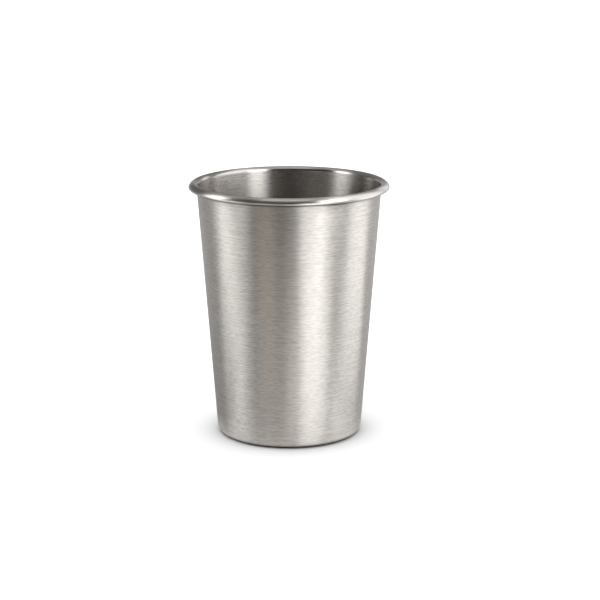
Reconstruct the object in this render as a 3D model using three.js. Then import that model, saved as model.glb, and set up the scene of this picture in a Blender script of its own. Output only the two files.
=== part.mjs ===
// A single-walled stainless steel drinking cup: a tapered wall, a rolled rim and a base pan.
// Every piece is sheet steel turned about the cup's axis. Millimetres, +Z up, with the
// origin in the middle of the plane that the cup stands on.
import * as THREE from "three";

// Driving dimensions
const cupHeight = 112.5; // standing plane to the top of the rim
const rimDiameter = 88; // across the outside of the rolled rim
const standingDiameter = 58.5; // across the flat ring that the cup stands on
const sheetThickness = 0.6;

// The rolled rim. Its turns are named in order, from the drink's side; their angles are degrees
// above level that the sheet faces, and radii are of the outer face.
const lipLean = 82; // degrees from upright where the flare ends and the lip's turn begins
const lipRadius = 1.2; // over the top of the rim
const slopeStart = 70;
const slopeRadius = 3; // slack, down to near the widest place
const tuckStart = 20;
const tuckRadius = 0.75; // tight, round the widest place
const underStart = -60;
const underRadius = 2; // slack again, and brings the edge in below
const flareRadius = 1.68; // bend from wall to lip, on the middle of the sheet
const curlGap = 0.4; // from the wall to the edge that is rolled in under the rim
const rimSeamDrop = 0.8; // seam of rim and wall, below the start of the flare

// The base
const heelRadius = 3; // outside of the bend from base to wall
const ringWidth = 3.6; // flat of the standing ring
const panelRise = 1.3; // middle of the base above the standing ring
const panelBend = 1.6; // the two bends from ring to panel, on the middle of the sheet
const heelSeamRise = 4; // seam of wall and base, above the end of the heel

// How finely round shapes are divided
const segments = 64;
const bendStep = 20; // degrees

// Points of a section are Vector2: x is the distance from the axis and y is the height.
const halfSheet = sheetThickness / 2;
const point = (x, y) => new THREE.Vector2(x, y);
const heading = (degrees) =>
  point(Math.cos(THREE.MathUtils.degToRad(degrees)), Math.sin(THREE.MathUtils.degToRad(degrees)));
const along = (start, direction, length) => start.clone().addScaledVector(direction, length);

// The sheet runs round these centres, and each turn of the rim goes smoothly into the next.
const lipAngle = 180 - lipLean;
const lipToSlope = heading(slopeStart).multiplyScalar(lipRadius - slopeRadius);
const slopeToTuck = heading(tuckStart).multiplyScalar(slopeRadius - tuckRadius);
const lipCentre = point(
  rimDiameter / 2 - tuckRadius - slopeToTuck.x - lipToSlope.x,
  cupHeight - lipRadius,
);
const slopeCentre = lipCentre.clone().add(lipToSlope);
const tuckCentre = slopeCentre.clone().add(slopeToTuck);
const underCentre = along(tuckCentre, heading(underStart), tuckRadius - underRadius);
const flareCentre = along(lipCentre, heading(lipAngle), lipRadius - halfSheet - flareRadius);
const heelBend = heelRadius - halfSheet;
const heelCentre = point(standingDiameter / 2, heelRadius);

// The wall is the straight sheet that touches both the heel's bend, on its outer side, and the
// flare's bend, on its inner side.
const heelToFlare = flareCentre.clone().sub(heelCentre);
const taper =
  THREE.MathUtils.radToDeg(Math.acos((heelBend + flareRadius) / heelToFlare.length())) -
  THREE.MathUtils.radToDeg(heelToFlare.angle());
const outward = heading(-taper); // square to the wall
const wallFoot = along(heelCentre, outward, heelBend);
const wallTop = along(flareCentre, outward, -flareRadius);
const heelSeam = wallFoot.y + heelSeamRise;
const rimSeam = wallTop.y - rimSeamDrop;

// The roll stops where its outer face comes within curlGap of the flared wall.
const flareToUnder = underCentre.clone().sub(flareCentre);
const closestToFlare = flareRadius - halfSheet - curlGap;
const curlEnd =
  THREE.MathUtils.radToDeg(
    flareToUnder.angle() +
      Math.acos(
        (closestToFlare ** 2 - flareToUnder.lengthSq() - underRadius ** 2) /
          (2 * flareToUnder.length() * underRadius),
      ),
  ) - 360;

// Both faces of a sheet across one place: front is the face that the drink touches.
const across = (middle, towardsFront) => ({
  front: along(middle, towardsFront, halfSheet),
  back: along(middle, towardsFront, -halfSheet),
});

// The sheet bent round a centre. frontSide is 1 where its front looks away from the centre.
function bend(centre, radius, from, to, frontSide) {
  const steps = Math.ceil(Math.abs(to - from) / bendStep);
  return Array.from({ length: steps + 1 }, (_, i) => {
    const ray = heading(THREE.MathUtils.lerp(from, to, i / steps));
    return across(along(centre, ray, radius), ray.clone().multiplyScalar(frontSide));
  });
}

// The wall cut level at a seam, so that two pieces meet there on a flat ring.
function seam(height) {
  const middle = wallFoot.x + (height - wallFoot.y) * Math.tan(THREE.MathUtils.degToRad(taper));
  const reach = halfSheet / Math.cos(THREE.MathUtils.degToRad(taper));
  return { front: point(middle - reach, height), back: point(middle + reach, height) };
}

// The outline of a sheet, along its back and home along its front.
const outline = (sheet) => [
  ...sheet.map((place) => place.back),
  ...sheet.map((place) => place.front).reverse(),
];
const closed = (section) => [...section, section[0]];

function turned(name, section, material) {
  const geometry = new THREE.LatheGeometry(section, segments).rotateX(Math.PI / 2);
  const mesh = new THREE.Mesh(geometry, material);
  mesh.name = name;
  return mesh;
}

// The rim: a flared lip that rolls outwards and down into a hollow bead. The turns are divided at
// their top and their outside, which so fall on the cup's stated height and diameter.
const rollTurns = [
  [lipCentre, lipRadius, lipAngle, 90],
  [lipCentre, lipRadius, 90, slopeStart],
  [slopeCentre, slopeRadius, slopeStart, tuckStart],
  [tuckCentre, tuckRadius, tuckStart, 0],
  [tuckCentre, tuckRadius, 0, underStart],
  [underCentre, underRadius, underStart, -90],
  [underCentre, underRadius, -90, curlEnd],
];
const roll = rollTurns.flatMap(([centre, radius, from, to]) =>
  bend(centre, radius - halfSheet, from, to, 1).slice(1),
);
const rimSheet = [
  seam(rimSeam),
  ...bend(flareCentre, flareRadius, 180 - taper, lipAngle, 1),
  ...roll,
];

// The wall: a plain taper from seam to seam.
const wallSheet = [seam(heelSeam), seam(rimSeam)];

// The base: a panel, raised clear of the table, steps down to the standing ring, and the heel
// turns up from the ring into the foot of the wall.
const stepAngle = THREE.MathUtils.radToDeg(Math.acos(1 - panelRise / (2 * panelBend)));
const ringInside = standingDiameter / 2 - ringWidth;
const stepRun = 2 * panelBend * heading(stepAngle).y;
const ringBendCentre = point(ringInside, halfSheet + panelBend);
const panelBendCentre = point(ringInside - stepRun, halfSheet + panelRise - panelBend);
const baseSheet = [
  across(point(0, halfSheet + panelRise), heading(90)),
  ...bend(panelBendCentre, panelBend, 90, 90 - stepAngle, 1),
  ...bend(ringBendCentre, panelBend, 270 - stepAngle, 270, -1).slice(1),
  ...bend(heelCentre, heelBend, -90, -taper, -1),
  seam(heelSeam),
];

const brushedSteel = new THREE.MeshStandardMaterial({
  color: 0xb9b4ae,
  roughness: 0.36,
  metalness: 1,
});
const polishedSteel = new THREE.MeshStandardMaterial({
  color: 0xc9c5c0,
  roughness: 0.16,
  metalness: 1,
});

const cup = new THREE.Group();
cup.name = "steel_cup";
cup.add(
  turned("rolled_rim", closed(outline(rimSheet)), polishedSteel),
  turned("tapered_wall", closed(outline(wallSheet)), brushedSteel),
  turned("base_pan", outline(baseSheet), brushedSteel),
);

export default cup;
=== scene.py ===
import math

import bpy
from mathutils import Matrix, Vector


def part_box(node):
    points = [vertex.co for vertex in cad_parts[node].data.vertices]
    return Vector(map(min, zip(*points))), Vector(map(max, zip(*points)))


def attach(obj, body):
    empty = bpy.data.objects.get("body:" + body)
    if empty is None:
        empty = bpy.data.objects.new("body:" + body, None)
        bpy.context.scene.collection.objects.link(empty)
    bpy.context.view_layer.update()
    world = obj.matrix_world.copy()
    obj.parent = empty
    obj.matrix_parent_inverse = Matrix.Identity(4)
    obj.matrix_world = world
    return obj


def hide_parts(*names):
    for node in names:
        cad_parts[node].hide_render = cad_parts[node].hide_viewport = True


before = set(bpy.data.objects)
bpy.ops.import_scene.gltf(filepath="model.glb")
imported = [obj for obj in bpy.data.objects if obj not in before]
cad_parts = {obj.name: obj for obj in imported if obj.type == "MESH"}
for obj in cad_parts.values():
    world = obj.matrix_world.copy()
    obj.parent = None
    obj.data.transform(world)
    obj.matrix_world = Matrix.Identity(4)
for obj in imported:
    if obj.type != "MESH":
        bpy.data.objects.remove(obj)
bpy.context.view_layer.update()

scene = bpy.context.scene
scene.view_settings.view_transform = "Standard"
print("frame loaded:", ", ".join(sorted(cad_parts)))


class Wire:                                # a socket that can stand in a sum
    def __init__(self, bench, socket):
        self.bench = bench
        self.socket = socket

    def sum(self, operation, *values):
        return self.bench.add("ShaderNodeMath", {"operation": operation}, dict(enumerate(values)))

    def __add__(self, other):
        return self.sum("ADD", self, other)

    def __radd__(self, other):
        return self.sum("ADD", other, self)

    def __sub__(self, other):
        return self.sum("SUBTRACT", self, other)

    def __rsub__(self, other):
        return self.sum("SUBTRACT", other, self)

    def __mul__(self, other):
        return self.sum("MULTIPLY", self, other)

    def __truediv__(self, other):
        return self.sum("DIVIDE", self, other)

    def __pow__(self, other):
        return self.sum("POWER", self, other)

    def __rpow__(self, other):
        return self.sum("POWER", other, self)


class Bench:                               # adds nodes to one tree
    def __init__(self, tree):
        self.tree = tree

    def add(self, kind, settings=None, sockets=None, out=0):
        node = self.tree.nodes.new(kind)
        for name, value in (settings or {}).items():
            setattr(node, name, value)
        for name, value in (sockets or {}).items():
            if isinstance(value, Wire):
                self.tree.links.new(value.socket, node.inputs[name])
            else:
                node.inputs[name].default_value = value
        if isinstance(out, tuple):
            return tuple(Wire(self, node.outputs[name]) for name in out)
        return Wire(self, node.outputs[out]) if len(node.outputs) else node


# the sheet that the whole cup is made of, and how finely it is turned
sheet = {
    "thickness": 0.0006,
    "segments": 256,
    "bendStep": 7.0,                       # degrees of bend between two rings of points
    "crease": 50.0,                        # edges sharper than this stay sharp
    "weld": 0.000001,
}
halfSheet = sheet["thickness"] / 2

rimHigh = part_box("rolled_rim")[1]          # the high corner of the node's box
wallLow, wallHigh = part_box("tapered_wall")
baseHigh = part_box("base_pan")[1]
heelSeam, rimSeam = wallLow.z, wallHigh.z
slope = (wallHigh.x - baseHigh.x) / (rimSeam - heelSeam)
taper = math.atan(slope)
taperDegrees = math.degrees(taper)
print(f"wall leans out by {taperDegrees:.2f} degrees between its two seams")


def heading(degrees):                      # a unit step in the section plane: radius, height
    return Vector((math.cos(math.radians(degrees)), math.sin(math.radians(degrees))))


def middleOfWall(height):                  # radius of the middle of the sheet
    return baseHigh.x + (height - heelSeam) * slope - halfSheet / math.cos(taper)


def wallPair(height):                      # drink side, then hand side
    middle = Vector((middleOfWall(height), height))
    across = Vector((halfSheet / math.cos(taper), 0.0))
    return middle - across, middle + across


def bendPairs(centre, radius, startAngle, endAngle, drinkSide):
    steps = max(1, math.ceil(abs(endAngle - startAngle) / sheet["bendStep"]))
    pairs = []
    for i in range(steps + 1):
        out = heading(startAngle + (endAngle - startAngle) * i / steps)
        pairs.append((centre + out * (radius + drinkSide * halfSheet),
                      centre + out * (radius - drinkSide * halfSheet)))
    return pairs


def joined(*runs):                         # drops the pair that two runs share
    pairs = list(runs[0])
    for run in runs[1:]:
        pairs += run[1:] if (run[0][0] - pairs[-1][0]).length < sheet["weld"] else run
    return pairs


def closedSection(pairs, onAxis=False):
    outline = [back for front, back in pairs] + [front for front, back in reversed(pairs)]
    return outline if onAxis else outline + outline[:1]


def growTurnTree():                        # turns a section about +Z into a closed sheet
    tree = bpy.data.node_groups.new("turnedSheet", "GeometryNodeTree")
    for name, kind in (("Section", "Geometry"), ("Segments", "Int"), ("Weld", "Float"),
                       ("Crease", "Float"), ("Finish", "Material")):
        tree.interface.new_socket(name, in_out="INPUT", socket_type="NodeSocket" + kind)
    tree.interface.new_socket("Sheet", in_out="OUTPUT", socket_type="NodeSocketGeometry")
    bench = Bench(tree)
    section, segments, weld, crease, finish = bench.add(
        "NodeGroupInput", out=("Section", "Segments", "Weld", "Crease", "Finish"))
    points = bench.add("GeometryNodeAttributeDomainSize", {"component": "MESH"},
                       {"Geometry": section}, out="Point Count")
    grid = bench.add("GeometryNodeMeshGrid", None,
                     {"Vertices X": segments + 1.0, "Vertices Y": points}, out="Mesh")
    index = bench.add("GeometryNodeInputIndex")
    row = bench.add("FunctionNodeIntegerMath", {"operation": "MODULO"}, {0: index, 1: points})
    column = bench.add("FunctionNodeIntegerMath", {"operation": "DIVIDE"}, {0: index, 1: points})
    place = bench.add("GeometryNodeInputPosition")
    inSection = bench.add("GeometryNodeSampleIndex", {"data_type": "FLOAT_VECTOR", "domain": "POINT"},
                          {"Geometry": section, "Value": place, "Index": row})
    turned = bench.add("ShaderNodeVectorRotate", {"rotation_type": "Z_AXIS"},
                       {"Vector": inSection, "Angle": column * math.tau / segments})
    shell = bench.add("GeometryNodeSetPosition", None, {"Geometry": grid, "Position": turned})
    shell = bench.add("GeometryNodeMergeByDistance", None, {"Geometry": shell, "Distance": weld})
    shell = bench.add("GeometryNodeSetShadeSmooth", {"domain": "FACE"},
                      {"Geometry": shell, "Shade Smooth": True})
    bendAngle = bench.add("GeometryNodeInputMeshEdgeAngle", out="Unsigned Angle")
    sharp = bench.add("FunctionNodeCompare", {"operation": "GREATER_THAN"}, {0: bendAngle, 1: crease})
    shell = bench.add("GeometryNodeSetShadeSmooth", {"domain": "EDGE"},
                      {"Geometry": shell, "Selection": sharp, "Shade Smooth": False})
    shell = bench.add("GeometryNodeRealizeInstances", None, {"Geometry": shell})
    shell = bench.add("GeometryNodeSetMaterial", None, {"Geometry": shell, "Material": finish})
    bench.add("NodeGroupOutput", None, {"Sheet": shell})
    return tree


turnTree = growTurnTree()


def turnPiece(name, outline, material):
    mesh = bpy.data.meshes.new(name)
    mesh.from_pydata([(p.x, 0.0, p.y) for p in outline], [], [])
    piece = bpy.data.objects.new(name, mesh)
    scene.collection.objects.link(piece)
    turn = piece.modifiers.new("turn", "NODES")
    turn.node_group = turnTree
    settings = {
        "Segments": sheet["segments"],
        "Weld": sheet["weld"],
        "Crease": math.radians(sheet["crease"]),
        "Finish": material,
    }
    for item in turnTree.interface.items_tree:
        if item.in_out == "INPUT" and item.name in settings:
            turn[item.identifier] = settings[item.name]
    turned = piece.evaluated_get(bpy.context.evaluated_depsgraph_get())
    solid = bpy.data.meshes.new_from_object(turned)
    piece.modifiers.remove(turn)
    piece.data = solid
    solid.name = name
    print(f"{name}: {len(solid.polygons)} faces")
    return piece


# the steel of the three pieces; strokes run round the cup, lengths in metres
rimSteel = {
    "light": (0.66, 0.63, 0.595),
    "dark": (0.56, 0.535, 0.505),
    "roughness": 0.42,
    "insideRoughness": 0.30,
    "bendRoughness": 0.30,
    "roughnessSwing": 0.04,
    "anisotropy": 0.9,
    # colour of the painted shade line under the roll
    "crease": (0.10, 0.09, 0.08),
    "paintedCreaseShade": 0.8,
    "paintedCreaseReach": 0.0005,
    "strokeLength": 0.020,
    "strokeWidth": 0.0004,
    "wander": 0.0002,
    "bump": 0.000004,
}
wallSteel = {
    "light": (0.715, 0.683, 0.646),
    "dark": (0.485, 0.463, 0.436),
    "roughness": 0.42,
    "insideRoughness": 0.30,
    # painted shade: the colour the drink side darkens to, deeper in the cup
    "paintedDepthShade": (0.42, 0.40, 0.377),
    "paintedDepthReach": 0.022,
    "roughnessSwing": 0.08,
    "anisotropy": 0.96,
    # colour of the painted shade line under the roll, at the wall's top
    "crease": (0.10, 0.09, 0.08),
    "paintedCreaseShade": 1.3,                    # over 1, so that the dark line has some width
    "paintedCreaseReach": 0.0016,
    "strokeLength": 0.0026,
    "strokeWidth": 0.00022,
    "wander": 0.0002,
    "bump": 0.000004,
}
baseSteel = {
    "light": (0.715, 0.683, 0.646),
    "dark": (0.485, 0.463, 0.436),
    "roughness": 0.42,
    "roughnessSwing": 0.08,
    "anisotropy": 0.96,
    # colour of the painted shade line at the foot of the heel
    "crease": (0.03, 0.027, 0.024),
    "paintedCreaseShade": 1.4,                    # over 1, so that the dark line has some width
    "paintedCreaseReach": 0.0018,
    "strokeLength": 0.0026,
    "strokeWidth": 0.00022,
    "wander": 0.0002,
    "bump": 0.000004,
}
upright = 0.25                             # a quarter turn of the shader's own tangent
brush = {                                  # what the strokes of all three have in common
    "offAxis": 0.0001,                     # keeps a division off zero in the middle of the base
    "middle": 0.5,                         # of the noise
    "noiseRoughness": 0.6,
    "driftLength": 2,                      # in stroke lengths
    "driftRate": 40.0,
    "driftDetail": 1.0,
    "longLength": 5,                       # in stroke lengths
    "longShift": 17.0,                     # so that the long strokes don't follow the short ones
    "shortShare": 0.55,
    "longShare": 0.45,
    "darkest": 0.3,
    "lightest": 0.7,
    "bendFade": 1.5,                       # where the smoother bend ends, in reaches of the bend
}


def steelFinish(name, look, radius):
    material = bpy.data.materials.new(name)
    material.use_nodes = True
    material.node_tree.nodes.clear()
    bench = Bench(material.node_tree)
    place = bench.add("ShaderNodeTexCoord", out="Object")
    x, y, z = bench.add("ShaderNodeSeparateXYZ", None, {"Vector": place}, out=("X", "Y", "Z"))
    out = (x * x + y * y) ** 0.5 + brush["offAxis"]
    along = z + out                        # grows steadily from the middle of the base to the rim

    def strokes(length, shift, detail=0.0):
        perTurn = radius / length
        cells = bench.add("ShaderNodeCombineXYZ", None,
                          {"X": x / out * perTurn, "Y": y / out * perTurn, "Z": shift})
        return bench.add("ShaderNodeTexNoise", {"noise_dimensions": "3D"},
                         {"Vector": cells, "Scale": 1.0, "Detail": detail,
                          "Roughness": brush["noiseRoughness"]})

    def ramp(value, start, end):
        return bench.add("ShaderNodeMapRange", {"interpolation_type": "SMOOTHSTEP"},
                         {"Value": value, "From Min": start, "From Max": end})

    def blend(share, under, over):         # 6 and 7 are the colour sockets of a Mix node
        return bench.add("ShaderNodeMix", {"data_type": "RGBA"}, {0: share, 6: under, 7: over}, out=2)

    drift = strokes(look["strokeLength"] * brush["driftLength"], along * brush["driftRate"],
                    brush["driftDetail"])
    wavy = (along + (drift - brush["middle"]) * look["wander"]) / look["strokeWidth"]
    short = strokes(look["strokeLength"], wavy)
    long = strokes(look["strokeLength"] * brush["longLength"], wavy + brush["longShift"])
    grain = short * brush["shortShare"] + long * brush["longShare"]
    tint = blend(ramp(grain, brush["darkest"], brush["lightest"]),
                 (*look["dark"], 1.0), (*look["light"], 1.0))
    rough = look["roughness"] + (grain - brush["middle"]) * (2 * look["roughnessSwing"])
    wallMiddle = middleOfWall(0.0) + z * slope
    if "insideRoughness" in look:          # the drink side is brushed more finely than the hand side
        inside = out.sum("LESS_THAN", out, wallMiddle)
        rough = rough - inside * (look["roughness"] - look["insideRoughness"])
    if "paintedDepthShade" in look:                # painted shade: the drink side darker deeper down in the cup
        depth = ramp(z, rimHigh.z, rimHigh.z - look["paintedDepthReach"]) * inside
        tint = blend(depth, tint, (*look["paintedDepthShade"], 1.0))
    if "bendRoughness" in look:            # the brush skims over the bend, which stays smoother
        fromBend = ((out - look["bendCentre"].x) ** 2 + (z - look["bendCentre"].y) ** 2) ** 0.5
        smooth = ramp(fromBend, look["bendReach"] * brush["bendFade"], look["bendReach"])
        rough = rough - smooth * (look["roughness"] - look["bendRoughness"])
    fromCrease = z.sum("ABSOLUTE", z - look["creaseHeight"])
    handSide = out.sum("GREATER_THAN", out, look.get("creaseInside", wallMiddle))
    crease = ramp(fromCrease, look["paintedCreaseReach"], 0.0) * handSide   # painted shade: a dark line under the roll and at the foot of the heel
    tint = blend(crease * look["paintedCreaseShade"], tint, (*look["crease"], 1.0))
    relief = bench.add("ShaderNodeBump", None,
                       {"Strength": 1.0, "Distance": look["bump"], "Height": grain})
    steel = bench.add("ShaderNodeBsdfPrincipled", None,
                      {"Base Color": tint, "Metallic": 1.0, "Roughness": rough, "Normal": relief,
                       "Anisotropic": look["anisotropy"], "Anisotropic Rotation": upright})
    bench.add("ShaderNodeOutputMaterial", None, {"Surface": steel})
    return material


# the rolled rim: flare, then a bead rolled outwards and down; radii are of its outer face
rim = {
    "flareRadius": 0.00168,                # on the middle of the sheet
    "lipLean": 82.0,                       # degrees that the flare leans out where the roll starts
    "lipRadius": 0.0012,                   # over the top
    "slopeStart": 70.0,                    # degrees above level that the sheet faces there
    "slopeRadius": 0.003,                  # slack, down to near the widest place
    "tuckStart": 20.0,
    "tuckRadius": 0.00075,                 # tight, round the widest place
    "underStart": -60.0,
    "underRadius": 0.002,                  # slack again, and brings the edge in below
    "curlGap": 0.0004,                     # clear of the flare where the roll ends
}
lipAngle = 180.0 - rim["lipLean"]
lipToSlope = heading(rim["slopeStart"]) * (rim["lipRadius"] - rim["slopeRadius"])
slopeToTuck = heading(rim["tuckStart"]) * (rim["slopeRadius"] - rim["tuckRadius"])
lipCentre = Vector((rimHigh.x - rim["tuckRadius"] - slopeToTuck.x - lipToSlope.x,
                    rimHigh.z - rim["lipRadius"]))
slopeCentre = lipCentre + lipToSlope
tuckCentre = slopeCentre + slopeToTuck
underCentre = tuckCentre + heading(rim["underStart"]) * (rim["tuckRadius"] - rim["underRadius"])
flareCentre = lipCentre + heading(lipAngle) * (rim["lipRadius"] - halfSheet - rim["flareRadius"])
flareToUnder = underCentre - flareCentre
closest = rim["flareRadius"] - halfSheet - rim["curlGap"]
curlTurn = math.acos((closest ** 2 - flareToUnder.length_squared - rim["underRadius"] ** 2)
                     / (2 * flareToUnder.length * rim["underRadius"]))
curlEnd = math.degrees(math.atan2(flareToUnder.y, flareToUnder.x) + curlTurn) - 360.0
rollTurns = (
    (lipCentre, rim["lipRadius"], lipAngle, 90.0),
    (lipCentre, rim["lipRadius"], 90.0, rim["slopeStart"]),
    (slopeCentre, rim["slopeRadius"], rim["slopeStart"], rim["tuckStart"]),
    (tuckCentre, rim["tuckRadius"], rim["tuckStart"], 0.0),
    (tuckCentre, rim["tuckRadius"], 0.0, rim["underStart"]),
    (underCentre, rim["underRadius"], rim["underStart"], -90.0),
    (underCentre, rim["underRadius"], -90.0, curlEnd),
)
rimPairs = joined(
    [wallPair(rimSeam)],
    bendPairs(flareCentre, rim["flareRadius"], 180.0 - taperDegrees, lipAngle, 1),
    *(bendPairs(centre, radius - halfSheet, start, end, 1) for centre, radius, start, end in rollTurns),
)
rimSteel["bendCentre"] = (lipCentre + tuckCentre) / 2
rimSteel["bendReach"] = (tuckCentre - lipCentre).length / 2 + rim["lipRadius"]
# height of the painted shade line under the roll, on the rim and on the wall's top
rimSteel["creaseHeight"] = wallSteel["creaseHeight"] = underCentre.y - rim["underRadius"]
halfPolishedSteel = steelFinish("halfPolishedSteel", rimSteel, rimHigh.x)
rimPiece = turnPiece("rolledRim", closedSection(rimPairs), halfPolishedSteel)

# the straight wall between the two seams
wall = {"rings": 25}
wallStep = (rimSeam - heelSeam) / (wall["rings"] - 1)
wallPairs = [wallPair(heelSeam + wallStep * i) for i in range(wall["rings"])]
brushedSteel = steelFinish("brushedSteel", wallSteel, wallHigh.x)
wallPiece = turnPiece("taperedWall", closedSection(wallPairs), brushedSteel)

# the base: raised panel, standing ring, heel
base = {
    "heelRadius": 0.003,
    "ringWidth": 0.0036,
    "panelRise": 0.0013,
    "panelBend": 0.0016,
}
heelBend = base["heelRadius"] - halfSheet
heelCentre = Vector((middleOfWall(base["heelRadius"]) - heelBend / math.cos(taper), base["heelRadius"]))
stepAngle = math.degrees(math.acos(1.0 - base["panelRise"] / (2 * base["panelBend"])))
ringInside = heelCentre.x - base["ringWidth"]
stepRun = 2 * base["panelBend"] * math.sin(math.radians(stepAngle))
ringBendCentre = Vector((ringInside, halfSheet + base["panelBend"]))
panelBendCentre = Vector((ringInside - stepRun, halfSheet + base["panelRise"] - base["panelBend"]))
panelMiddle = halfSheet + base["panelRise"]
basePairs = joined(
    [(Vector((0.0, panelMiddle + halfSheet)), Vector((0.0, panelMiddle - halfSheet)))],
    bendPairs(panelBendCentre, base["panelBend"], 90.0, 90.0 - stepAngle, 1),
    bendPairs(ringBendCentre, base["panelBend"], 270.0 - stepAngle, 270.0, -1),
    bendPairs(heelCentre, heelBend, -90.0, -taperDegrees, -1),
    [wallPair(heelSeam)],
)
# the painted shade line at the foot of the heel, on the hand side
baseSteel["creaseHeight"] = 0.0
baseSteel["creaseInside"] = heelCentre.x
turnedSteel = steelFinish("turnedSteel", baseSteel, baseHigh.x)
basePiece = turnPiece("basePan", closedSection(basePairs, onAxis=True), turnedSteel)

for piece, node, slot in ((rimPiece, "rolled_rim", "polished_steel"),
                          (wallPiece, "tapered_wall", "brushed_steel"),
                          (basePiece, "base_pan", "base_steel")):
    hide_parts(node)
    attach(piece, "root")

# camera at the photograph's place
view = {
    "place": (0.0048, -0.7670, 0.2437),
    "pitchDown": 13.533,
    "lens": 106.5,
}
camera = bpy.data.objects.new("camera", bpy.data.cameras.new("camera"))
camera.data.lens = view["lens"]
camera.location = view["place"]
camera.rotation_euler = (math.radians(90.0 - view["pitchDown"]), 0.0, 0.0)
scene.collection.objects.link(camera)
scene.camera = camera

# pale floor; the camera sees it a little over white, so that only the shadow stays grey
floor = {
    "reach": 6.0,
    "drop": 0.00005,
    "colour": 0.98,
    "lift": 0.44,                          # for the camera, and for what mirrors or passes the floor
    "contactShade": 0.66,                  # share of the floor's colour taken by the painted contact shadow right under the heel
    "contactReach": 0.0035,
}
floorMesh = bpy.data.meshes.new("floor")
reach = floor["reach"]
corners = [(-reach, -reach), (reach, -reach), (reach, reach), (-reach, reach)]
floorMesh.from_pydata([(x, y, -floor["drop"]) for x, y in corners], [], [(0, 1, 2, 3)])
floorPiece = bpy.data.objects.new("floor", floorMesh)
scene.collection.objects.link(floorPiece)
paper = bpy.data.materials.new("paleFloor")
paper.use_nodes = True
paper.node_tree.nodes.clear()
bench = Bench(paper.node_tree)
seen, mirrored, passed = bench.add(
    "ShaderNodeLightPath", out=("Is Camera Ray", "Is Glossy Ray", "Is Transmission Ray"))
place = bench.add("ShaderNodeTexCoord", out="Object")
fromAxis = bench.add("ShaderNodeVectorMath", {"operation": "LENGTH"}, {0: place}, out="Value")
# painted contact shadow: the floor's colour darkens towards the heel, on top of the real shadow
beyond = fromAxis.sum("MAXIMUM", fromAxis - heelCentre.x, 0.0) / floor["contactReach"]
shade = 1.0 - math.e ** (0.0 - beyond) * floor["contactShade"]
paleness = floor["colour"] + (seen + mirrored + passed) * floor["lift"]
matt = bench.add("ShaderNodeBsdfDiffuse", None, {"Color": shade * paleness})
bench.add("ShaderNodeOutputMaterial", None, {"Surface": matt})
floorMesh.materials.append(paper)

# plain white light from all round
world = bpy.data.worlds.new("sky")
world.use_nodes = True
world.node_tree.nodes.clear()
bench = Bench(world.node_tree)
white = bench.add("ShaderNodeBackground", None, {"Color": (1.0, 1.0, 1.0, 1.0), "Strength": 1.0})
bench.add("ShaderNodeOutputWorld", None, {"Surface": white})
scene.world = world

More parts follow.
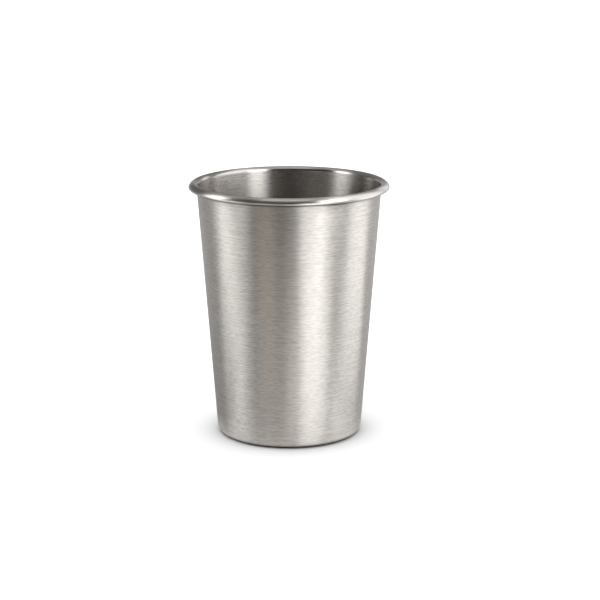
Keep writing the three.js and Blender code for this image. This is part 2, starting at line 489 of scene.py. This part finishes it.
# what the steel mirrors: softboxes, flags and a grey hood, seen by glossy rays alone
# azimuth in degrees from the camera, right is plus; foot and head are distance from the axis and height
warm = (1.0, 0.92, 0.84)
clean = (1.0, 1.0, 1.0)
footHigh, midHigh, topHigh = 0.05, 0.115, 0.42        # the cards stand in three tiers
overRim = 0.130                            # cards for the rim and the inside start above the cup
keyRing, leftRing, rightRing, frontRing = 0.149, 0.150, 0.151, 0.152   # a little apart: they overlap
floorFoot, floorHead = (0.040, 0.0003), (0.29, 0.0003)   # cards that lie just over the floor
hoodRing, hoodStep, hoodTop = 0.30, 0.16, 0.45
columnWidth = 5.0                          # degrees
anyBounce = 0.5                            # diffuse depth counts in whole steps
cards = {
    "leftFoot": {"from": -104, "to": -44, "fade": (12, 30),
                 "foot": (leftRing, 0.0), "head": (leftRing, footHigh), "glow": 1.68, "tint": clean},
    "frontFoot": {"from": -45, "to": 12, "fade": (12, 6),
                  "foot": (frontRing, 0.0), "head": (frontRing, footHigh), "glow": 0.95, "tint": warm},
    "keyFoot": {"from": 11, "to": 60, "fade": (9, 16),
                "foot": (keyRing, 0.0), "head": (keyRing, footHigh), "glow": 2.6, "tint": clean},
    "rightFoot": {"from": 53, "to": 118, "fade": (14, 14),
                  "foot": (rightRing, 0.0), "head": (rightRing, footHigh), "glow": 2.0, "tint": clean},
    "leftMid": {"from": -96, "to": -33, "fade": (18, 18),
                "foot": (leftRing, footHigh), "head": (leftRing, midHigh), "glow": 1.48, "tint": clean},
    "frontMid": {"from": -42, "to": -10, "fade": (10, 10),
                 "foot": (frontRing, footHigh), "head": (frontRing, midHigh), "glow": 0.5, "tint": warm},
    "keyMid": {"from": 6, "to": 44, "fade": (8, 10),
               "foot": (keyRing, footHigh), "head": (keyRing, midHigh), "glow": 2.35, "tint": clean},
    "rightMid": {"from": 66, "to": 111, "fade": (12, 10),
                 "foot": (rightRing, footHigh), "head": (rightRing, midHigh), "glow": 1.72, "tint": clean},
    "leftTop": {"from": -106, "to": -66, "fade": (18, 14),
                "foot": (leftRing, overRim), "head": (leftRing, 0.23), "glow": 3.5, "tint": clean},
    "keyTop": {"from": 26, "to": 74, "fade": (18, 20),
               "foot": (keyRing, overRim), "head": (keyRing, 0.26), "glow": 4.4, "tint": clean},
    "rightTop": {"from": 64, "to": 130, "fade": (10, 16),
                 "foot": (rightRing, midHigh), "head": (rightRing, topHigh), "glow": 1.55, "tint": clean},
    "browLight": {"from": -95, "to": 75, "fade": (20, 20),
                  "foot": (0.130, topHigh), "head": (0.045, topHigh), "glow": 1.6, "tint": clean},
    "frontFlag": {"from": -85, "to": 85, "fade": (10, 10),
                  "foot": (0.156, 0.0), "head": (0.156, topHigh), "glow": 0.03, "tint": warm},
    "backFlag": {"from": -156, "to": -104, "fade": (10, 10),
                 "foot": (0.158, midHigh), "head": (0.158, 0.20), "glow": 0.15, "tint": clean},
    "backdrop": {"from": 148, "to": 212, "fade": (16, 16),
                 "foot": (0.28, 0.0), "head": (0.28, hoodStep), "glow": 0.45, "tint": clean},
    "backRight": {"from": 130, "to": 160, "fade": (10, 12),
                  "foot": (0.27, midHigh), "head": (0.27, 0.24), "glow": 1.25, "tint": clean},
    "leftFloor": {"from": -178, "to": -58, "fade": (10, 20),
                  "foot": floorFoot, "head": floorHead, "glow": 0.31, "tint": clean},
    "frontFloor": {"from": -78, "to": 6, "fade": (20, 16),
                   "foot": floorFoot, "head": floorHead, "glow": 0.55, "tint": clean},
    "rightFloor": {"from": 54, "to": 178, "fade": (16, 10),
                   "foot": floorFoot, "head": floorHead, "glow": 0.55, "tint": clean},
    "hoodLow": {"from": -180, "to": 180,
                "foot": (hoodRing, 0.0), "head": (hoodRing, hoodStep), "glow": 0.61, "tint": clean},
    "hoodHigh": {"from": -180, "to": 180,
                 "foot": (hoodRing, hoodStep), "head": (hoodRing, hoodTop), "glow": 0.22, "tint": clean},
    "hoodLid": {"from": -180, "to": 180,
                "foot": (hoodRing, hoodTop), "head": (0.0, hoodTop), "glow": 0.5, "tint": clean},
}


def cardGlow(name, look, halfWidth):
    material = bpy.data.materials.new(name)
    material.use_nodes = True
    material.node_tree.nodes.clear()
    bench = Bench(material.node_tree)
    bounced = bench.add("ShaderNodeLightPath", out="Diffuse Depth")
    own = bounced.sum("LESS_THAN", bounced, anyBounce)  # not what the cup throws back on the floor
    glow = bench.add("ShaderNodeEmission", None,
                     {"Color": (*look["tint"], 1.0), "Strength": own * look["glow"]})
    if "fade" in look:
        place = bench.add("ShaderNodeTexCoord", out="Object")
        x, y = bench.add("ShaderNodeSeparateXYZ", None, {"Vector": place}, out=("X", "Y"))
        azimuth = x.sum("ARCTAN2", x, 0.0 - y) * math.degrees(1.0)
        fadeIn, fadeOut = look["fade"]
        edges = [bench.add("ShaderNodeMapRange", {"interpolation_type": "SMOOTHSTEP"},
                           {"Value": azimuth, "From Min": start, "From Max": end})
                 for start, end in ((-halfWidth, fadeIn - halfWidth), (halfWidth, halfWidth - fadeOut))]
        clear = bench.add("ShaderNodeBsdfTransparent")
        glow = bench.add("ShaderNodeMixShader", None, {0: edges[0] * edges[1], 1: clear, 2: glow})
    bench.add("ShaderNodeOutputMaterial", None, {"Surface": glow})
    return material


def standCard(name, look):
    halfWidth = (look["to"] - look["from"]) / 2
    columns = round(2 * halfWidth / columnWidth)
    points = []
    for i in range(columns + 1):
        turn = math.radians(halfWidth * (2 * i / columns - 1))
        for radius, height in (look["foot"], look["head"]):
            points.append((radius * math.sin(turn), -radius * math.cos(turn), height))
    faces = [(2 * i, 2 * i + 2, 2 * i + 3, 2 * i + 1) for i in range(columns)]
    mesh = bpy.data.meshes.new(name)
    mesh.from_pydata(points, [], faces)
    mesh.materials.append(cardGlow(name, look, halfWidth))
    card = bpy.data.objects.new(name, mesh)
    card.rotation_euler.z = math.radians((look["from"] + look["to"]) / 2)
    scene.collection.objects.link(card)
    card.visible_camera = False
    card.visible_diffuse = False
    card.visible_transmission = False
    card.visible_shadow = False


for name, look in cards.items():
    standCard(name, look)
print("stage set with", len(cards), "cards")
